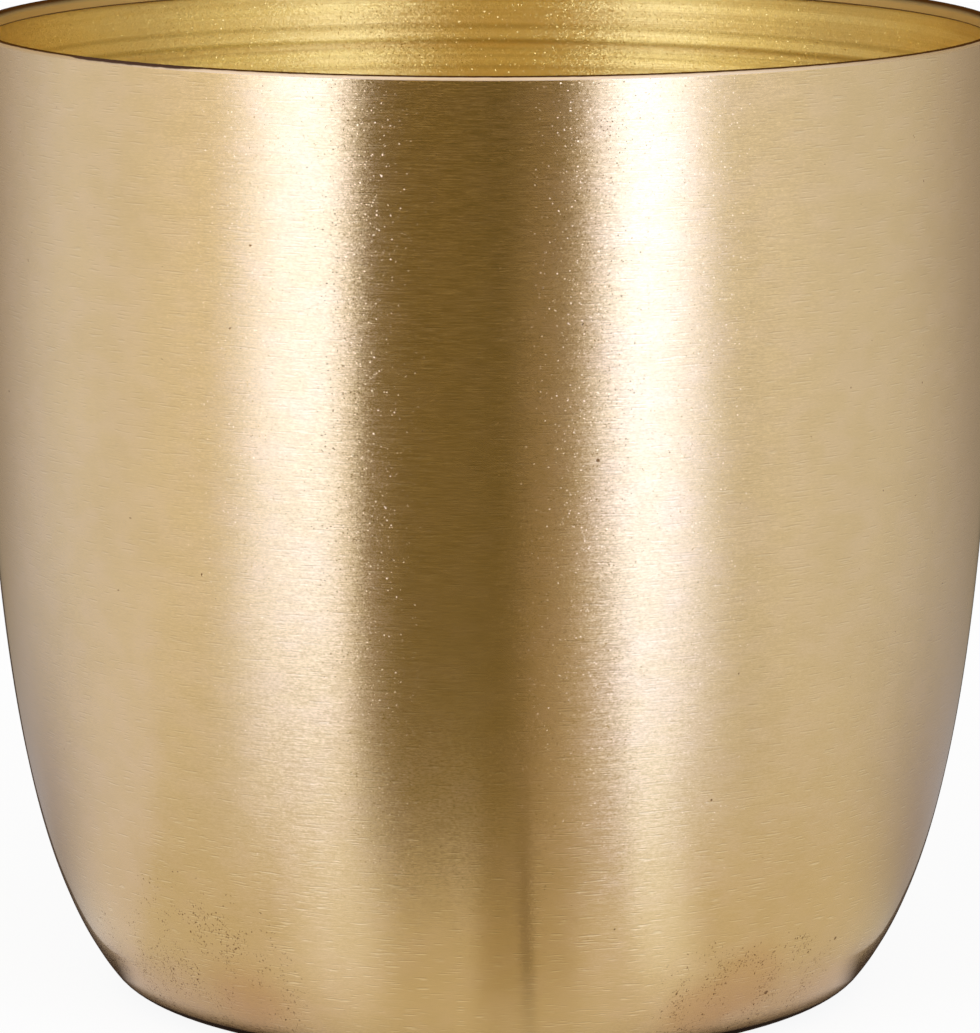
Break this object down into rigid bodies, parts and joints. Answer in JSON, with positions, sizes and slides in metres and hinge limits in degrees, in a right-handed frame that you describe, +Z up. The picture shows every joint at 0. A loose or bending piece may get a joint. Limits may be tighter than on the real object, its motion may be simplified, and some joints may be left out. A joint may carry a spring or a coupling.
{
  "type": "flower pot",
  "caption": "Round indoor plant pot of brushed brass sheet: flat foot, rounded lower wall, nearly upright sides and an inward hemmed rim; stands on small pads.",
  "frame": {"origin": "on the pot's axis, on the surface that it stands on", "axes": "+Z up along the pot's axis, -Y towards the camera of the picture"},
  "size_m": [0.2, 0.2, 0.19],
  "materials": {
    "shell": "brushed round the wall, satin inside, thin clear lacquer",
    "pad": "matt dark rubber"
  },
  "bodies": {
    "root": {"pot_shell": "shell", "foot_pad_1": "pad", "foot_pad_2": "pad", "foot_pad_3": "pad", "foot_pad_4": "pad"}
  },
  "joints": []
}
